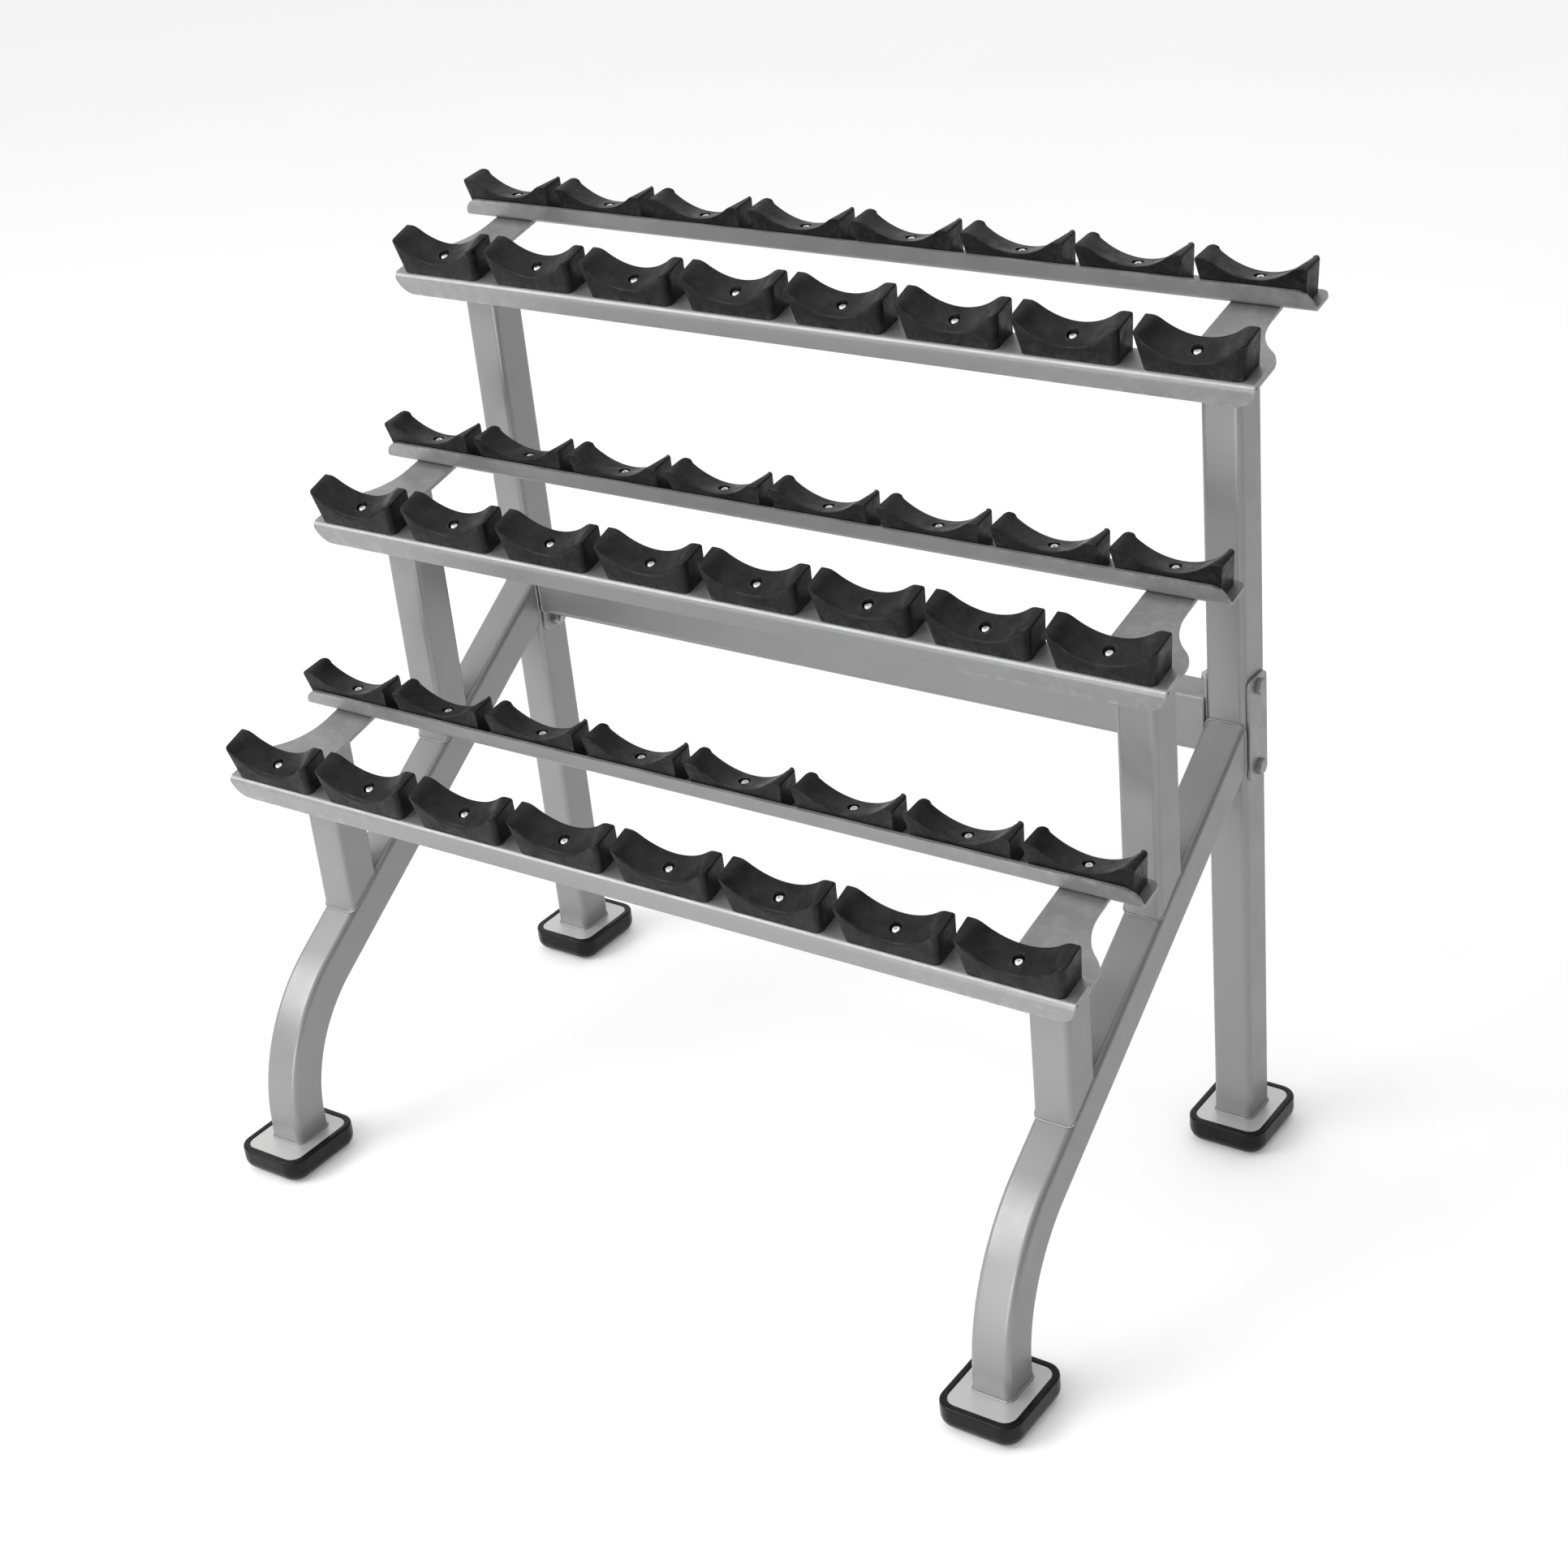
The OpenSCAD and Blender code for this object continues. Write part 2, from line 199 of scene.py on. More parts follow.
def saddle_plastic():
    """Black moulded plastic: fine spark grain, cloudy sheen, paler where weights rub the rims."""
    m = Nodes("black_moulded_plastic")
    grain = m.noise(1500, 2.0, 0.6)
    patch = m.noise(38, 6.0, 0.68)
    rub = m.times(m.edge(), m.spread(m.noise(130, 4.0, 0.7), 0.42, 0.66))
    base = m.blend(m.spread(patch, 0.36, 0.66), (0.003, 0.003, 0.0034), (0.014, 0.014, 0.0145))
    base = m.blend(m.times(rub, 0.5), base, (0.050, 0.050, 0.050))
    m.link(base, m.shader.inputs["Base Color"])
    m.link(m.spread(m.noise(55, 5.0, 0.7), 0.32, 0.68, 0.26, 0.58), m.shader.inputs["Roughness"])
    m.set(Specular_IOR_Level=0.16)
    pitted = m.bump(grain, 0.35, 0.10 * MM)
    m.link(m.bump(m.noise(70, 4.0, 0.6), 0.35, 1.0 * MM, pitted), m.shader.inputs["Normal"])
    return m.material


def boot_rubber():
    """Smooth black rubber with a soft gloss, dulled by scattered scuffs."""
    m = Nodes("black_rubber")
    scuff = m.spread(m.noise(80, 6.0, 0.7), 0.5, 0.75)
    base = m.blend(m.times(scuff, 0.6), (0.003, 0.003, 0.003), (0.018, 0.018, 0.017))
    m.link(base, m.shader.inputs["Base Color"])
    m.link(m.spread(m.noise(50, 5.0, 0.7), 0.35, 0.7, 0.16, 0.40), m.shader.inputs["Roughness"])
    m.set(Specular_IOR_Level=0.20)
    m.link(m.bump(m.noise(160, 3.0), 0.25, 0.3 * MM), m.shader.inputs["Normal"])
    return m.material


def bright_steel():
    """Zinc-plated steel with faint tool marks."""
    m = Nodes("bright_zinc_steel")
    tint = m.spread(m.noise(240, 4.0), 0.35, 0.65)
    m.link(m.blend(tint, (0.70, 0.70, 0.69), (0.86, 0.86, 0.84)), m.shader.inputs["Base Color"])
    m.link(m.spread(m.noise(700, 3.0), 0.3, 0.7, 0.22, 0.38), m.shader.inputs["Roughness"])
    m.set(Metallic=1.0)
    m.link(m.bump(m.noise(1800, 2.0), 0.2, 0.05 * MM), m.shader.inputs["Normal"])
    return m.material


def floor_paint():
    """Plain pale studio floor."""
    m = Nodes("pale_floor")
    m.link(m.blend(m.noise(1.5, 3.0), (0.90, 0.90, 0.90), (0.93, 0.93, 0.93)), m.shader.inputs["Base Color"])
    m.set(Roughness=0.85, Emission_Color=(1.0, 1.0, 1.0, 1.0), Emission_Strength=0.12)
    return m.material


SILVER = silver_paint("silver_powder_coat", (0.27, 0.27, 0.272))
# Lighter copy of the same silver paint: painted light, brightening the foot plates where light falls on their
# tops.
SILVER_PAINTED_LIGHT = silver_paint("silver_coat_painted_light", (0.60, 0.60, 0.598))
BLACK = saddle_plastic()
RUBBER = boot_rubber()
STEEL = bright_steel()

# ---------------------------------------------------------------- mesh helpers


def rounded_rect(w, d, r, steps=6):
    """Outline of a rectangle with round corners, anticlockwise."""
    points = []
    for quarter, (sx, sy) in enumerate(((1, 1), (-1, 1), (-1, -1), (1, -1))):
        for i in range(steps + 1):
            a = (quarter + i / steps) * math.pi / 2
            points.append((sx * (w / 2 - r) + r * math.cos(a), sy * (d / 2 - r) + r * math.sin(a)))
    return points


def circle(r, count=24):
    angles = [2 * math.pi * i / count for i in range(count)]
    return [(r * math.cos(a), r * math.sin(a)) for a in angles]


def hexagon(flats, count=24):
    """Hexagon outline with a given width across flats, as points evenly spread in angle."""
    points = []
    for i in range(count):
        a = 2 * math.pi * i / count
        away = (a + math.pi / 6) % (math.pi / 3) - math.pi / 6
        r = flats / 2 / math.cos(away)
        points.append((r * math.cos(a), r * math.sin(a)))
    return points


def loft(bm, rings, closed=False):
    """Skin over rings of equal length, with a face on each open end."""
    made = [[bm.verts.new(p) for p in ring] for ring in rings]
    count = len(made[0])
    pairs = list(zip(made, made[1:]))
    if closed:
        pairs.append((made[-1], made[0]))
    for a, b in pairs:
        for i in range(count):
            j = (i + 1) % count
            bm.faces.new((a[i], a[j], b[j], b[i]))
    if not closed:
        bm.faces.new(list(reversed(made[0])))
        bm.faces.new(made[-1])


def with_margins(rings, margin=5 * MM):
    """Adds rings a short way in from both ends, so that what is marked on the ends stays there."""
    first = [a + (b - a).normalized() * margin for a, b in zip(rings[0], rings[1])]
    last = [b + (a - b).normalized() * margin for a, b in zip(rings[-2], rings[-1])]
    return [rings[0], first, *rings[1:-1], last, rings[-1]]


def flat_rings(outline_heights):
    """Rings in the XY plane from (outline, z) pairs."""
    return [[Vector((x, y, z)) for x, y in outline] for outline, z in outline_heights]


def move_rings(rings, matrix):
    return [[matrix @ p for p in ring] for ring in rings]


def onto_plane(ring, direction, point, normal):
    """Slides each point along direction until it lies on the plane."""
    return [p + direction * ((point - p).dot(normal) / direction.dot(normal)) for p in ring]


def finish_mesh(name, bm, material, nodes=(), bevel=0.0, mirror=False, smooth=math.radians(32),
                worn=True):
    """Turns a bmesh into a piece: rounded edges, smooth shading, edge wear, and its place on the frame."""
    if mirror:
        bmesh.ops.scale(bm, vec=(-1, 1, 1), verts=bm.verts)
    bmesh.ops.recalc_face_normals(bm, faces=bm.faces)
    mesh = bpy.data.meshes.new(name)
    bm.to_mesh(mesh)
    bm.free()
    piece = bpy.data.objects.new(name, mesh)
    bpy.context.scene.collection.objects.link(piece)
    if bevel:
        rounding = piece.modifiers.new("edges", "BEVEL")
        rounding.width = bevel
        rounding.segments = 2
        rounding.limit_method = "ANGLE"
        rounding.angle_limit = math.radians(50)
        rounding.harden_normals = False
        bake_modifiers(piece)
    mesh = piece.data
    mark_edges(mesh, worn)
    mesh.polygons.foreach_set("use_smooth", [True] * len(mesh.polygons))
    mesh.set_sharp_from_angle(angle=smooth)
    weights = piece.modifiers.new("shading", "WEIGHTED_NORMAL")
    weights.keep_sharp = True
    mesh.materials.clear()
    mesh.materials.append(material)
    if nodes:
        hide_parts(*nodes)
    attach(piece, "root")
    return piece


def bake_modifiers(piece):
    graph = bpy.context.evaluated_depsgraph_get()
    graph.update()
    baked = bpy.data.meshes.new_from_object(piece.evaluated_get(graph))
    old = piece.data
    piece.modifiers.clear()
    piece.data = baked
    bpy.data.meshes.remove(old)
    baked.name = piece.name


def mark_edges(mesh, worn):
    """Writes 1 on vertices where a worn piece turns sharply outwards and 0 on all the others."""
    bm = bmesh.new()
    bm.from_mesh(mesh)
    bm.normal_update()
    shares = []
    for v in bm.verts:
        turn = 0.0
        for e in v.link_edges:
            if worn and len(e.link_faces) == 2 and e.is_convex:
                turn = max(turn, e.calc_face_angle(0.0))
        shares.append(min(1.0, max(0.0, (turn - 0.25) / 0.5)))
    bm.free()
    layer = mesh.attributes.new("edge", "FLOAT", "POINT")
    layer.data.foreach_set("value", shares)


# ---------------------------------------------------------------- tubes and welds


def tube_ring(centre, across, along):
    """Ring of the frame tube's outline, its width along across and its depth along along."""
    return [centre + across * x + along * y for x, y in rounded_rect(TUBE_W, TUBE_D, TUBE_R)]


def upright_ring(y, z):
    return tube_ring(Vector((FRAME_X, y, z)), Vector((1, 0, 0)), Vector((0, 1, 0)))


UP = Vector((0, 0, 1))


def under_arm(ring, tier):
    """Slides an upright ring up to the underside of a tray's arm plate."""
    place = tray(tier)
    return onto_plane(ring, UP, place @ Vector((0, 0, ARM_UNDER)), place.to_3x3() @ UP)


def leg_centre(turn):
    """Point on the leg's centre line and its heading after a share of the bend, in radians."""
    y = LEG_Y + BEND_R * (1 - math.cos(turn))
    z = BEND_START + BEND_R * math.sin(turn)
    return Vector((FRAME_X, y, z)), Vector((0, math.sin(turn), math.cos(turn)))


DIAGONAL_START, DIAGONAL_WAY = leg_centre(BEND_TURN)
DIAGONAL_UP = Vector((0, -math.sin(SLOPE), math.cos(SLOPE)))
DIAGONAL_TOP = DIAGONAL_START + DIAGONAL_UP * TUBE_D / 2


def onto_diagonal(ring):
    """Slides an upright ring down to the top of the diagonal."""
    return onto_plane(ring, UP, DIAGONAL_TOP, DIAGONAL_UP)


def leg_rings():
    turns = [BEND_TURN * i / 28 for i in range(29)]
    rings = [upright_ring(LEG_Y, PLATE_TOP)]
    for turn in turns:
        centre, way = leg_centre(turn)
        rings.append(tube_ring(centre, Vector((1, 0, 0)), Vector((0, way.z, -way.y))))
    face = Vector((0, REAR_Y - TUBE_D / 2, 0))
    rings.append(onto_plane(rings[-1], DIAGONAL_WAY, face, Vector((0, 1, 0))))
    return rings


def weld(bm, ring, lift, size, seed):
    """Rippled bead along a ring, lifted off it by a vector and leaning outwards."""
    centre = sum(ring, Vector()) / len(ring)
    step = 1.3 * MM
    path = []
    for a, b in zip(ring, ring[1:] + ring[:1]):
        count = max(1, round((b - a).length / step))
        path += [a.lerp(b, i / count) for i in range(count)]
    beads = []
    run = 0.0
    for i, p in enumerate(path):
        ahead = (path[(i + 1) % len(path)] - path[i - 1]).normalized()
        out = ahead.cross(lift).normalized()
        if out.dot(p - centre) < 0:
            out = -out
        ripple = 0.10 * math.cos(2 * math.pi * run / (4.2 * MM))
        ripple += 0.22 * noise.noise(p * 90 + Vector((seed, 0, 0)))
        r = size * (1 + ripple)
        rise = lift.normalized()
        beads.append([p + (out * math.cos(t) + rise * math.sin(t)) * r for t in
                      [2 * math.pi * k / 8 for k in range(8)]])
        run += (path[(i + 1) % len(path)] - p).length
    loft(bm, beads, closed=True)


def side_frame(side, mirror):
    bm = bmesh.new()
    foot = upright_ring(REAR_Y, PLATE_TOP)
    loft(bm, with_margins([foot, under_arm(foot, 0)]))
    finish_mesh(side + "_rear_upright_tube", bm, SILVER, [side + "_rear_upright"], mirror=mirror)
    bm = bmesh.new()
    leg = leg_rings()
    loft(bm, with_margins(leg))
    finish_mesh(side + "_front_leg_tube", bm, SILVER, [side + "_front_leg"], mirror=mirror)
    beads = bmesh.new()
    weld(beads, foot, UP, 2.0 * MM, 1)
    weld(beads, leg[0], UP, 2.0 * MM, 2)
    weld(beads, leg[-1], Vector((0, -1, 0)), 1.7 * MM, 3)
    for tier in (1, 2):
        ring = upright_ring(REAR_Y - tier * TIER_SETBACK, 0)
        low, high = onto_diagonal(ring), under_arm(ring, tier)
        bm = bmesh.new()
        loft(bm, with_margins([low, high]))
        name = side + "_" + TIERS[tier] + "_post"
        finish_mesh(name + "_tube", bm, SILVER, [name], mirror=mirror)
        weld(beads, low, DIAGONAL_UP, 1.6 * MM, 4 + tier)
    for tier in range(3):
        high = under_arm(upright_ring(REAR_Y - tier * TIER_SETBACK, 0), tier)
        weld(beads, high, -(tray(tier).to_3x3() @ UP), 1.7 * MM, 7 + tier)
    name = side + "_frame_welds"
    finish_mesh(name, beads, SILVER, mirror=mirror, smooth=math.radians(60), worn=False)


# ---------------------------------------------------------------- arm plates


def arc(centre, r, start, end, steps):
    """Points on an arc from start to end, in degrees."""
    out = []
    for i in range(steps + 1):
        a = math.radians(start + (end - start) * i / steps)
        out.append((centre[0] + r * math.cos(a), centre[1] + r * math.sin(a)))
    return out


def arm_outline():
    """Plate under both rails, with a round ear towards the end of the front rail."""
    ear_r = 38 * MM
    ear = (RAIL_HALF - ear_r, 23 * MM - ROW)
    edge = FRAME_X + ARM_W / 2
    ease_y = 115 * MM - ROW
    rise = ease_y - ear[1]
    reach = edge - ear[0]
    ease_r = (reach**2 + rise**2 - ear_r**2) / (2 * (ear_r - reach))
    ease = (edge + ease_r, ease_y)
    lean = math.degrees(math.atan2(ease[1] - ear[1], ease[0] - ear[0]))
    front, back = -ROW - 15 * MM, ROW - FOLD_TO_ROW + RAIL_WEB
    inner = FRAME_X - ARM_W / 2
    points = [(inner, back), (inner, front), (RAIL_HALF, front)]
    points += arc(ear, ear_r, 0, lean, 10)
    points += arc(ease, ease_r, 180 + lean, 180, 10)[1:]
    points.append((edge, back))
    return points


def arms():
    for side, mirror in (("left", True), ("right", False)):
        for tier, name in enumerate(TIERS):
            bm = bmesh.new()
            rings = flat_rings([(arm_outline(), ARM_UNDER), (arm_outline(), WEB_UNDER)])
            loft(bm, move_rings(rings, tray(tier)))
            node = f"{side}_{name}_arm"
            finish_mesh(node + "_plate", bm, SILVER, [node], bevel=0.7 * MM, mirror=mirror)


# ---------------------------------------------------------------- rails


def round_cut(r, left):
    """How far a round corner of a strip is cut back at a distance left from the strip's free edge."""
    return r - math.sqrt(r * r - max(0.0, r - left) ** 2)


def sheet_stations(flange):
    """Middle line of the folded sheet, web edge to flange edge: (y, z, normal, cut at both ends)."""
    half = RAIL_STEEL / 2
    stations = []
    for i in range(9):
        left = WEB_CORNER_R * (1 - math.cos(i / 8 * math.pi / 2))
        stations.append((RAIL_WEB - left, half, (0, -1), round_cut(WEB_CORNER_R, left)))
    stations.append((RAIL_WEB / 2, half, (0, -1), 0.0))
    stations.append((FOLD_R, half, (0, -1), 0.0))
    corner = flange - 3 * MM
    middle_r = FOLD_R - half
    for i in range(1, 9):
        a = i * math.pi / 16
        y = FOLD_R - middle_r * math.sin(a)
        z = FOLD_R - middle_r * math.cos(a)
        stations.append((y, z, (-math.sin(a), -math.cos(a)), round_cut(corner, flange - z)))
    for i in range(1, 13):
        z = FOLD_R + (flange - FOLD_R) * math.sin(i / 12 * math.pi / 2)
        stations.append((half, z, (-1, 0), round_cut(corner, flange - z)))
    return stations


def rail_mesh(flange, flip):
    """Folded rail, web down and flange up, or upside down when flip is set."""
    bm = bmesh.new()
    rows = []
    for y, z, normal, cut in sheet_stations(flange):
        row = []
        for side in (0.5, -0.5):
            yy = y + normal[0] * RAIL_STEEL * side
            zz = z + normal[1] * RAIL_STEEL * side
            if flip:
                zz = -zz
            along = [share * (RAIL_HALF - cut) for share in (-1, -0.34, 0.34, 1)]
            row.append([bm.verts.new((x, yy - FOLD_TO_ROW, zz)) for x in along])
        rows.append(row)
    for a, b in zip(rows, rows[1:]):
        for side in (0, 1):
            for i in range(3):
                bm.faces.new((a[side][i], a[side][i + 1], b[side][i + 1], b[side][i]))
        for i in (0, 3):
            bm.faces.new((a[0][i], a[1][i], b[1][i], b[0][i]))
    for row in (rows[0], rows[-1]):
        for i in range(3):
            bm.faces.new((row[0][i], row[0][i + 1], row[1][i + 1], row[1][i]))
    return bm


def rails():
    front = ("front", FRONT_FLANGE, True, (0, -ROW, WEB_TOP))
    rear = ("rear", REAR_FLANGE, False, (0, ROW, WEB_UNDER))
    for tier, name in enumerate(TIERS):
        for end, flange, flip, spot in (front, rear):
            bm = rail_mesh(flange, flip)
            bmesh.ops.transform(bm, matrix=tray(tier) @ Matrix.Translation(spot), verts=bm.verts)
            rail = f"{name}_{end}_rail"
            finish_mesh(rail + "_sheet", bm, SILVER, [rail], bevel=0.6 * MM)


# ---------------------------------------------------------------- saddles

SADDLE_DEPTH = 38 * MM
SADDLE_BASE = 60.5 * MM
SADDLE_FLARE = 7.5 * MM
HORN_INNER = 47 * MM
HORN_OUTER = 43.5 * MM
TROUGH_R = 82 * MM
TROUGH_INNER = 27 * MM
TROUGH_OUTER = 16 * MM
SADDLE_CORNER_R = 8 * MM
SCREW_FLOOR = -2.5 * MM
COUNTERBORE_R = 7.2 * MM


def saddle_section(y):
    """Closed outline of a saddle at depth y, where -Y is its outer side."""
    half_depth = SADDLE_DEPTH / 2
    share = (y + half_depth) / SADDLE_DEPTH
    corner, rim, back_rim = SADDLE_CORNER_R, 3 * MM, 2 * MM
    from_front = y + half_depth
    from_back = half_depth - y
    narrow = corner - math.sqrt(corner**2 - max(0.0, corner - from_front) ** 2)
    drop = rim - math.sqrt(rim**2 - max(0.0, rim - from_front) ** 2)
    drop += back_rim - math.sqrt(back_rim**2 - max(0.0, back_rim - from_back) ** 2)
    slope = math.atan((TROUGH_INNER - TROUGH_OUTER) / SADDLE_DEPTH)
    floor = TROUGH_OUTER + (TROUGH_INNER - TROUGH_OUTER) * share
    horn = HORN_OUTER + (HORN_INNER - HORN_OUTER) * share

    def top(x):
        trough = floor + (TROUGH_R - math.sqrt(TROUGH_R**2 - x * x)) / math.cos(slope)
        ease = 5 * MM
        mix = max(ease - abs(trough - horn), 0.0) / ease
        return min(trough, horn) - mix * mix * ease / 4 - drop

    lean = math.atan(SADDLE_FLARE / HORN_INNER)
    nose = 2.2 * MM
    shelf = horn - drop
    nose_x = SADDLE_BASE - narrow + math.tan(lean) * (shelf - nose) - nose / math.cos(lean)
    right = [(SADDLE_BASE - narrow + math.tan(lean) * z, z) for z in (0.0, 0.33 * shelf, 0.66 * shelf)]
    for i in range(7):
        a = -lean + (math.pi / 2 + lean) * i / 6
        right.append((nose_x + nose * math.cos(a), shelf - nose + nose * math.sin(a)))
    count = 22
    for i in range(1, count):
        x = nose_x * (1 - i / count)
        right.append((x, top(x)))
    left = [(-x, z) for x, z in reversed(right)]
    return right + [(0.0, top(0.0))] + left


def saddle_mesh():
    """One saddle standing on its rail, with its screw's counterbore."""
    half = SADDLE_DEPTH / 2
    front = [-half + SADDLE_CORNER_R * (1 - math.cos(math.pi / 2 * i / 7)) for i in range(8)]
    flat = SADDLE_DEPTH - SADDLE_CORNER_R - 2 * MM
    middle = [-half + SADDLE_CORNER_R + flat * i / 4 for i in range(1, 5)]
    back = [half - 2 * MM * (1 - math.sin(math.pi / 2 * i / 3)) for i in range(1, 4)]
    bm = bmesh.new()
    loft(bm, [[Vector((x, y, z)) for x, z in saddle_section(y)] for y in front + middle + back])
    bmesh.ops.recalc_face_normals(bm, faces=bm.faces)
    bmesh.ops.triangulate(bm, faces=bm.faces)
    block = bpy.data.meshes.new("saddle_block")
    bm.to_mesh(block)
    bm.free()
    cutter = bmesh.new()
    mouth = circle(COUNTERBORE_R, 40)
    bore = flat_rings([(mouth, SCREW_FLOOR - WEB_TOP), (mouth, 60 * MM)])
    loft(cutter, bore)
    bmesh.ops.recalc_face_normals(cutter, faces=cutter.faces)
    hole = bpy.data.meshes.new("saddle_bore")
    cutter.to_mesh(hole)
    cutter.free()
    block_piece = bpy.data.objects.new("saddle_block", block)
    hole_piece = bpy.data.objects.new("saddle_bore", hole)
    for piece in (block_piece, hole_piece):
        bpy.context.scene.collection.objects.link(piece)
    cut = block_piece.modifiers.new("bore", "BOOLEAN")
    cut.object = hole_piece
    cut.solver = "EXACT"
    block_piece.modifiers.new("facets", "TRIANGULATE")
    bake_modifiers(block_piece)
    mesh = block_piece.data
    bpy.data.objects.remove(block_piece)
    bpy.data.objects.remove(hole_piece)
    return mesh


def saddles():
    one = saddle_mesh()
    for tier, name in enumerate(TIERS):
        for end, row in ((-1, "front"), (1, "rear")):
            bm = bmesh.new()
            for k in range(SADDLES):
                before = len(bm.verts)
                bm.from_mesh(one)
                bm.verts.ensure_lookup_table()
                place = tray(tier) @ Matrix.Translation((saddle_x(k), end * ROW, WEB_TOP))
                if end > 0:
                    place = place @ Matrix.Rotation(math.pi, 4, "Z")
                bmesh.ops.transform(bm, matrix=place, verts=bm.verts[before:])
            finish_mesh(f"{name}_{row}_saddle_row", bm, BLACK, [f"{name}_{row}_saddles"])
    bpy.data.meshes.remove(one)


# ---------------------------------------------------------------- screws, nuts and bolts


def screw_rings(shank):
    """Domed head with a small hexagon socket, standing on z = 0, and its shank below."""
    head_r, wall, dome = 5.6 * MM, 0.6 * MM, 3.8 * MM
    shank_ring = circle(3 * MM)
    head = [(shank_ring, -shank), (shank_ring, 0.0), (circle(head_r - 0.2 * MM), 0.0), (circle(head_r), wall)]
    for i in range(1, 6):
        a = i / 6 * math.pi / 2
        head.append((circle(head_r - 2.2 * MM * (1 - math.cos(a))), wall + dome * math.sin(a)))
    head.append((hexagon(3.4 * MM), wall + dome))
    head.append((hexagon(3.1 * MM), wall + dome - 0.3 * MM))
    head.append((hexagon(3.0 * MM), wall + dome - 2.0 * MM))
    return flat_rings(head)


def nut_rings(flats, height, bore):
    """Hexagon nut with chamfered corners and an open thread, from z = 0 downwards."""
    chamfer = flats * 0.07
    hexa = hexagon(flats)
    small = [(x * 0.93, y * 0.93) for x, y in hexa]
    outside = [(small, 0.0), (hexa, -chamfer * 0.5), (hexa, -height + chamfer * 0.5), (small, -height)]
    inside = [(circle(bore), -height), (circle(bore), 0.0)]
    return flat_rings(outside + inside)


def saddle_fasteners():
    for tier, name in enumerate(TIERS):
        screws, nuts = bmesh.new(), bmesh.new()
        for k in range(SADDLES):
            for end in (-1, 1):
                spot = tray(tier) @ Matrix.Translation((saddle_x(k), end * ROW, 0))
                turned = Matrix.Rotation(0.7 * k + end, 4, "Z")
                under = ARM_UNDER if k in (0, SADDLES - 1) else WEB_UNDER
                floor = spot @ Matrix.Translation((0, 0, SCREW_FLOOR)) @ turned
                loft(screws, move_rings(screw_rings(SCREW_FLOOR - under + 7 * MM), floor))
                place = spot @ Matrix.Translation((0, 0, under)) @ turned
                loft(nuts, move_rings(nut_rings(10 * MM, 5 * MM, 3 * MM), place), closed=True)
        finish_mesh(name + "_screws", screws, STEEL, [name + "_saddle_screws"])
        finish_mesh(name + "_nuts", nuts, STEEL, [name + "_saddle_nuts"])


def bolt_rings():
    """Hexagon head with a washer face, standing on z = 0."""
    hexa = hexagon(17 * MM)
    small = [(x * 0.9, y * 0.9) for x, y in hexa]
    return flat_rings([
        (circle(5 * MM), -70 * MM),
        (circle(5 * MM), 0.0),
        (circle(8.2 * MM), 0.0),
        (circle(8.2 * MM), 0.6 * MM),
        (hexa, 0.7 * MM),
        (hexa, 5.2 * MM),
        (small, 6.4 * MM),
    ])


def beam_parts():
    beam_low, beam_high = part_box("cross_beam")
    outline = rounded_rect(beam_high.y - beam_low.y, beam_high.z - beam_low.z, 10 * MM)
    middle = (beam_low + beam_high) / 2
    bm = bmesh.new()
    ends = [[Vector((x, middle.y + y, middle.z + z)) for y, z in outline] for x in (beam_low.x, beam_high.x)]
    loft(bm, with_margins(ends))
    finish_mesh("cross_beam_tube", bm, SILVER, ["cross_beam"])
    beads = bmesh.new()
    for x, seed in ((beam_low.x, 20), (beam_high.x, 21)):
        ring = [Vector((x, middle.y + y, middle.z + z)) for y, z in outline]
        weld(beads, ring, Vector((-1 if x > 0 else 1, 0, 0)), 1.7 * MM, seed)
    finish_mesh("beam_welds", beads, SILVER, smooth=math.radians(60), worn=False)
    for side in ("left", "right"):
        for kind in ("beam_end_plate", "clamp_plate"):
            low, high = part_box(f"{side}_{kind}")
            outline = rounded_rect(high.y - low.y, high.z - low.z, 9 * MM)
            centre = (low + high) / 2
            bm = bmesh.new()
            loft(bm, [[Vector((x, centre.y + y, centre.z + z)) for y, z in outline] for x in (low.x, high.x)])
            plate = f"{side}_{kind}"
            finish_mesh(plate + "_steel", bm, SILVER, [plate], bevel=0.9 * MM)
    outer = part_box("right_clamp_plate")[1].x
    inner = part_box("right_beam_end_plate")[0].x
    bolts, nuts = bmesh.new(), bmesh.new()
    for side in (-1, 1):
        for end in (-1, 1):
            height = BEAM_Z + end * BOLT_SPACING / 2
            sideways = Matrix.Rotation(side * math.pi / 2, 4, "Y")
            bolt = Matrix.Translation((side * outer, REAR_Y, height)) @ sideways
            loft(bolts, move_rings(bolt_rings(), bolt))
            nut = Matrix.Translation((side * inner, REAR_Y, height)) @ sideways
            loft(nuts, move_rings(nut_rings(17 * MM, 8 * MM, 5 * MM), nut), closed=True)
    finish_mesh("beam_bolt_set", bolts, SILVER, ["beam_bolts"])
    finish_mesh("beam_nut_set", nuts, SILVER, ["beam_nuts"])


# ---------------------------------------------------------------- feet


def grown(w, d, r, by):
    """Rounded rectangle grown outwards, or inwards where by is below 0."""
    return rounded_rect(w + 2 * by, d + 2 * by, max(r + by, 1 * MM), 8)


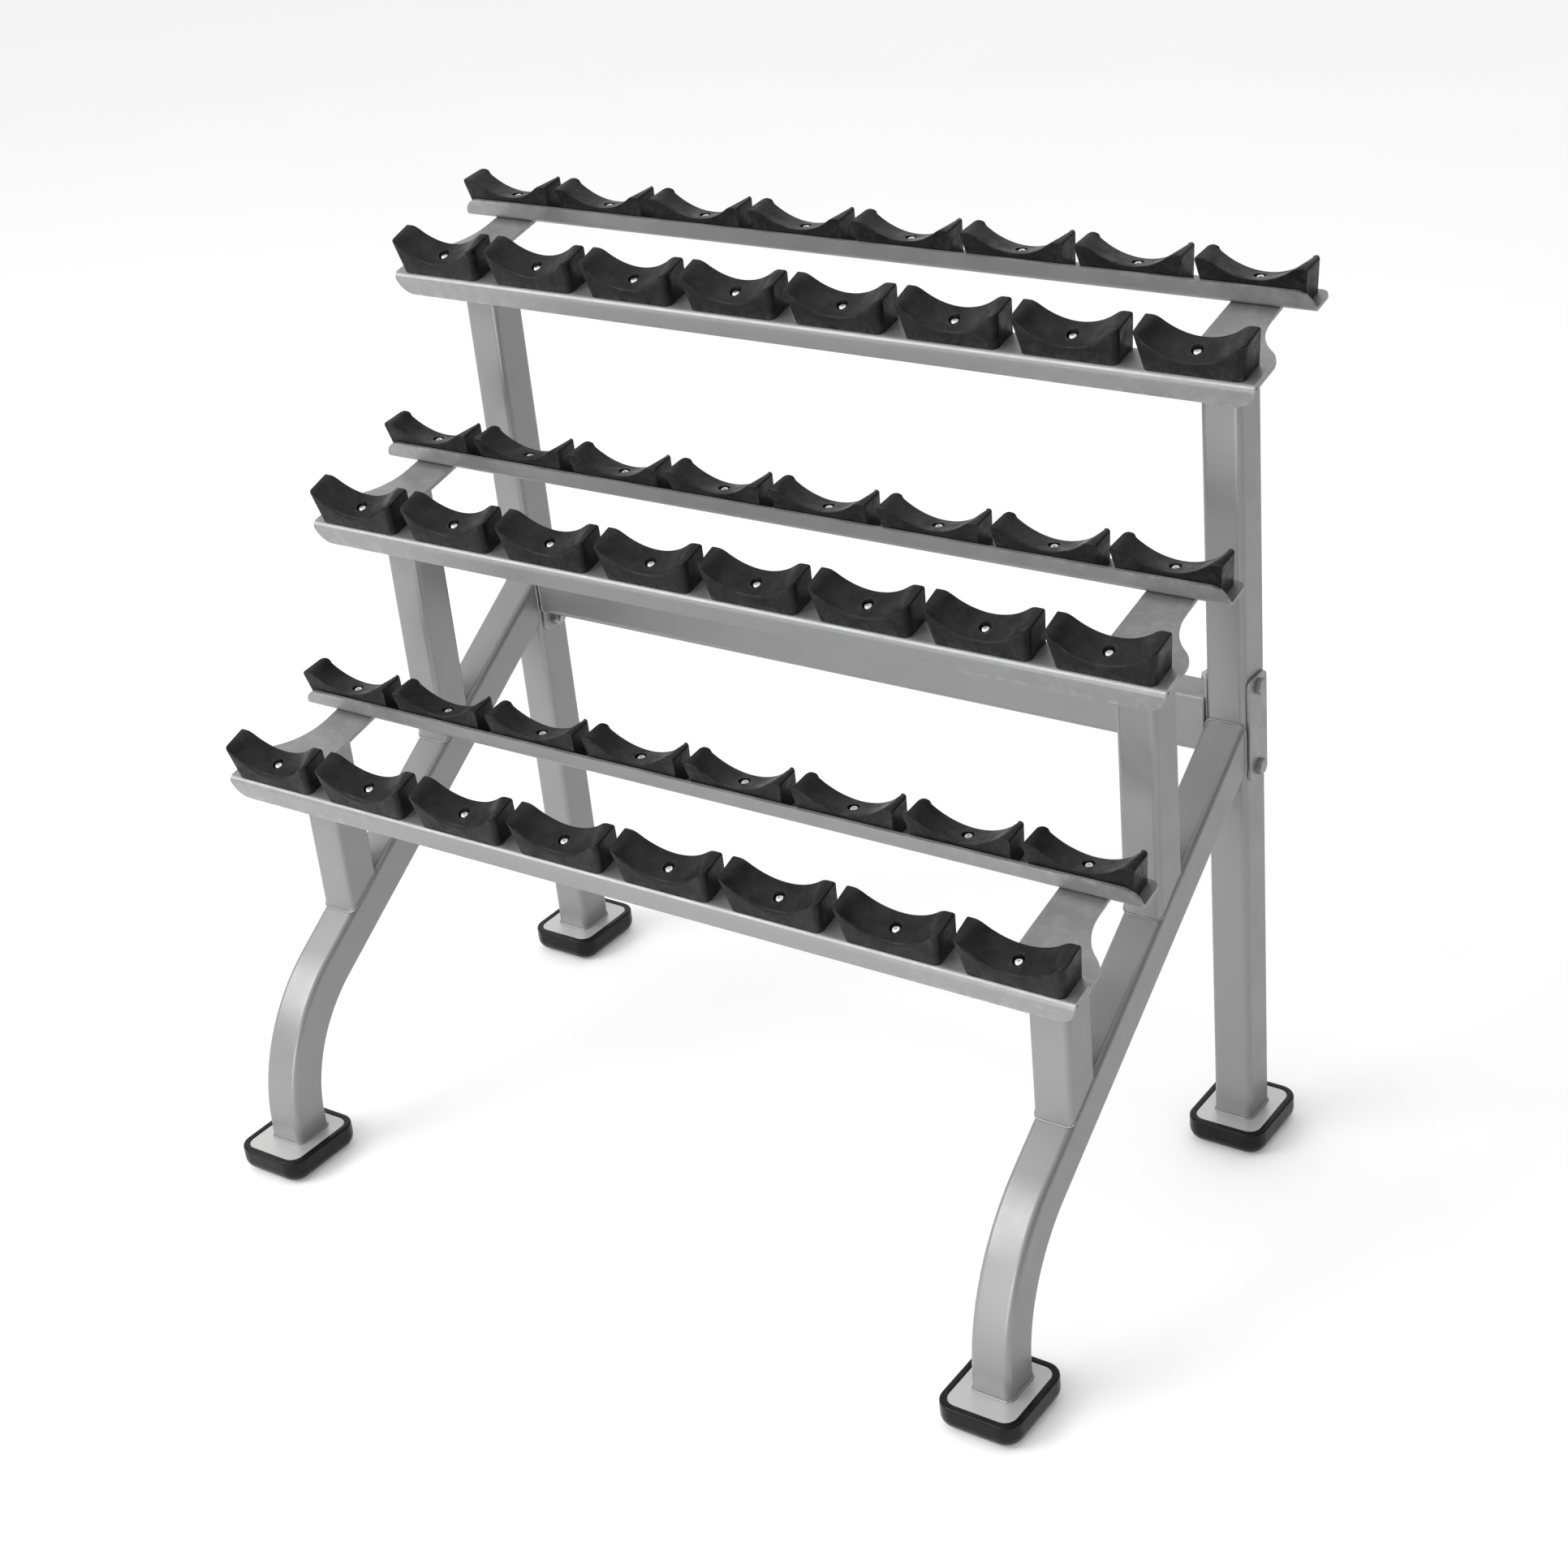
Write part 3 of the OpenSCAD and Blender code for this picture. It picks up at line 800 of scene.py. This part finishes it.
def boot_rings(w, d, r, height):
    """Rubber boot from the middle of its underside, round its outside and down into the plate's pocket."""
    rings = []
    sole = 17 * MM
    rings.append((grown(w, d, r, -sole - 3 * MM), 0.0))
    for i in range(9):
        a = i / 8 * math.pi / 2
        rings.append((grown(w, d, r, -sole * (1 - math.sin(a))), sole * (1 - math.cos(a))))
    lip = 3 * MM
    for i in range(6):
        a = i / 5 * math.pi / 2
        rings.append((grown(w, d, r, -lip * (1 - math.cos(a))), height - lip * (1 - math.sin(a))))
    rim, ease = 8.5 * MM, 1.5 * MM
    for i in range(1, 5):
        a = i / 4 * math.pi / 2
        inset = -rim + ease * (1 - math.sin(a))
        rings.append((grown(w, d, r, inset), height - ease * (1 - math.cos(a))))
    rings.append((grown(w, d, r, -rim), height - 7 * MM))
    return flat_rings(rings)


def feet():
    for side in ("left", "right"):
        for end in ("front", "rear"):
            low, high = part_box(f"{side}_{end}_boot")
            centre = Matrix.Translation(((low.x + high.x) / 2, (low.y + high.y) / 2, 0))
            bm = bmesh.new()
            rings = boot_rings(high.x - low.x, high.y - low.y, 23 * MM, high.z)
            loft(bm, move_rings(rings, centre))
            finish_mesh(f"{side}_{end}_rubber_boot", bm, RUBBER, [f"{side}_{end}_boot"])
            low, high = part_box(f"{side}_{end}_foot_plate")
            outline = rounded_rect(high.x - low.x, high.y - low.y, 15 * MM, 8)
            bm = bmesh.new()
            loft(bm, move_rings(flat_rings([(outline, low.z), (outline, high.z)]), centre))
            name = f"{side}_{end}_foot"
            # The foot plates take the lighter copy of the silver paint, a painted highlight.
            finish_mesh(name + "_steel", bm, SILVER_PAINTED_LIGHT, [name + "_plate"], bevel=0.8 * MM)


# ---------------------------------------------------------------- build

side_frame("left", True)
side_frame("right", False)
arms()
rails()
saddles()
saddle_fasteners()
beam_parts()
feet()

# ---------------------------------------------------------------- stage

bm = bmesh.new()
loft(bm, flat_rings([(circle(14, 96), -20 * MM), (circle(14, 96), 0.0)]))
floor_mesh = bpy.data.meshes.new("floor")
bm.to_mesh(floor_mesh)
bm.free()
floor_mesh.materials.append(floor_paint())
floor = bpy.data.objects.new("floor", floor_mesh)
bpy.context.scene.collection.objects.link(floor)

world = bpy.data.worlds.new("studio")
world.use_nodes = True
studio = world.node_tree
way = studio.nodes.new("ShaderNodeTexCoord")
split = studio.nodes.new("ShaderNodeSeparateXYZ")
shade = studio.nodes.new("ShaderNodeMapRange")
for key, number in (("From Min", 0.0), ("From Max", 0.85), ("To Min", 1.0), ("To Max", 0.28)):
    shade.inputs[key].default_value = number
studio.links.new(way.outputs["Generated"], split.inputs["Vector"])
studio.links.new(split.outputs["X"], shade.inputs["Value"])
studio.nodes["Background"].inputs["Color"].default_value = (1.0, 1.0, 1.0, 1)
studio.links.new(shade.outputs["Result"], studio.nodes["Background"].inputs["Strength"])
bpy.context.scene.world = world


def area_light(name, place, aim, size, power):
    data = bpy.data.lights.new(name, "AREA")
    data.shape = "RECTANGLE"
    data.size, data.size_y = size
    data.energy = power
    lamp = bpy.data.objects.new(name, data)
    lamp.location = place
    lamp.rotation_euler = (Vector(aim) - Vector(place)).to_track_quat("-Z", "Y").to_euler()
    bpy.context.scene.collection.objects.link(lamp)


area_light("key", (-2.6, -3.2, 3.4), (0, 0, 0.5), (3.0, 2.4), 130)
area_light("overhead", (0.2, 0.2, 3.8), (0, 0, 0), (3.4, 2.6), 20)
area_light("low_front", (0.3, -2.4, 0.5), (0.5, -0.3, 0.2), (0.8, 0.8), 14)

camera_data = bpy.data.cameras.new("photo_camera")
camera_data.sensor_width = 36
camera_data.lens = 61.54
camera_data.shift_x = -0.06
camera_data.clip_end = 60
camera = bpy.data.objects.new("photo_camera", camera_data)
camera.location = (1.7701, REAR_Y - 2.5000, 1.9756)
view_way = Vector((-0.50904, 0.72452, -0.46470))
view_up = Vector((-0.19603, 0.42811, 0.88221))
right = view_way.cross(view_up).normalized()
view_up = right.cross(view_way).normalized()
camera.rotation_euler = Matrix((right, view_up, -view_way.normalized())).transposed().to_euler()
bpy.context.scene.collection.objects.link(camera)
bpy.context.scene.camera = camera
bpy.context.scene.view_settings.view_transform = "Standard"
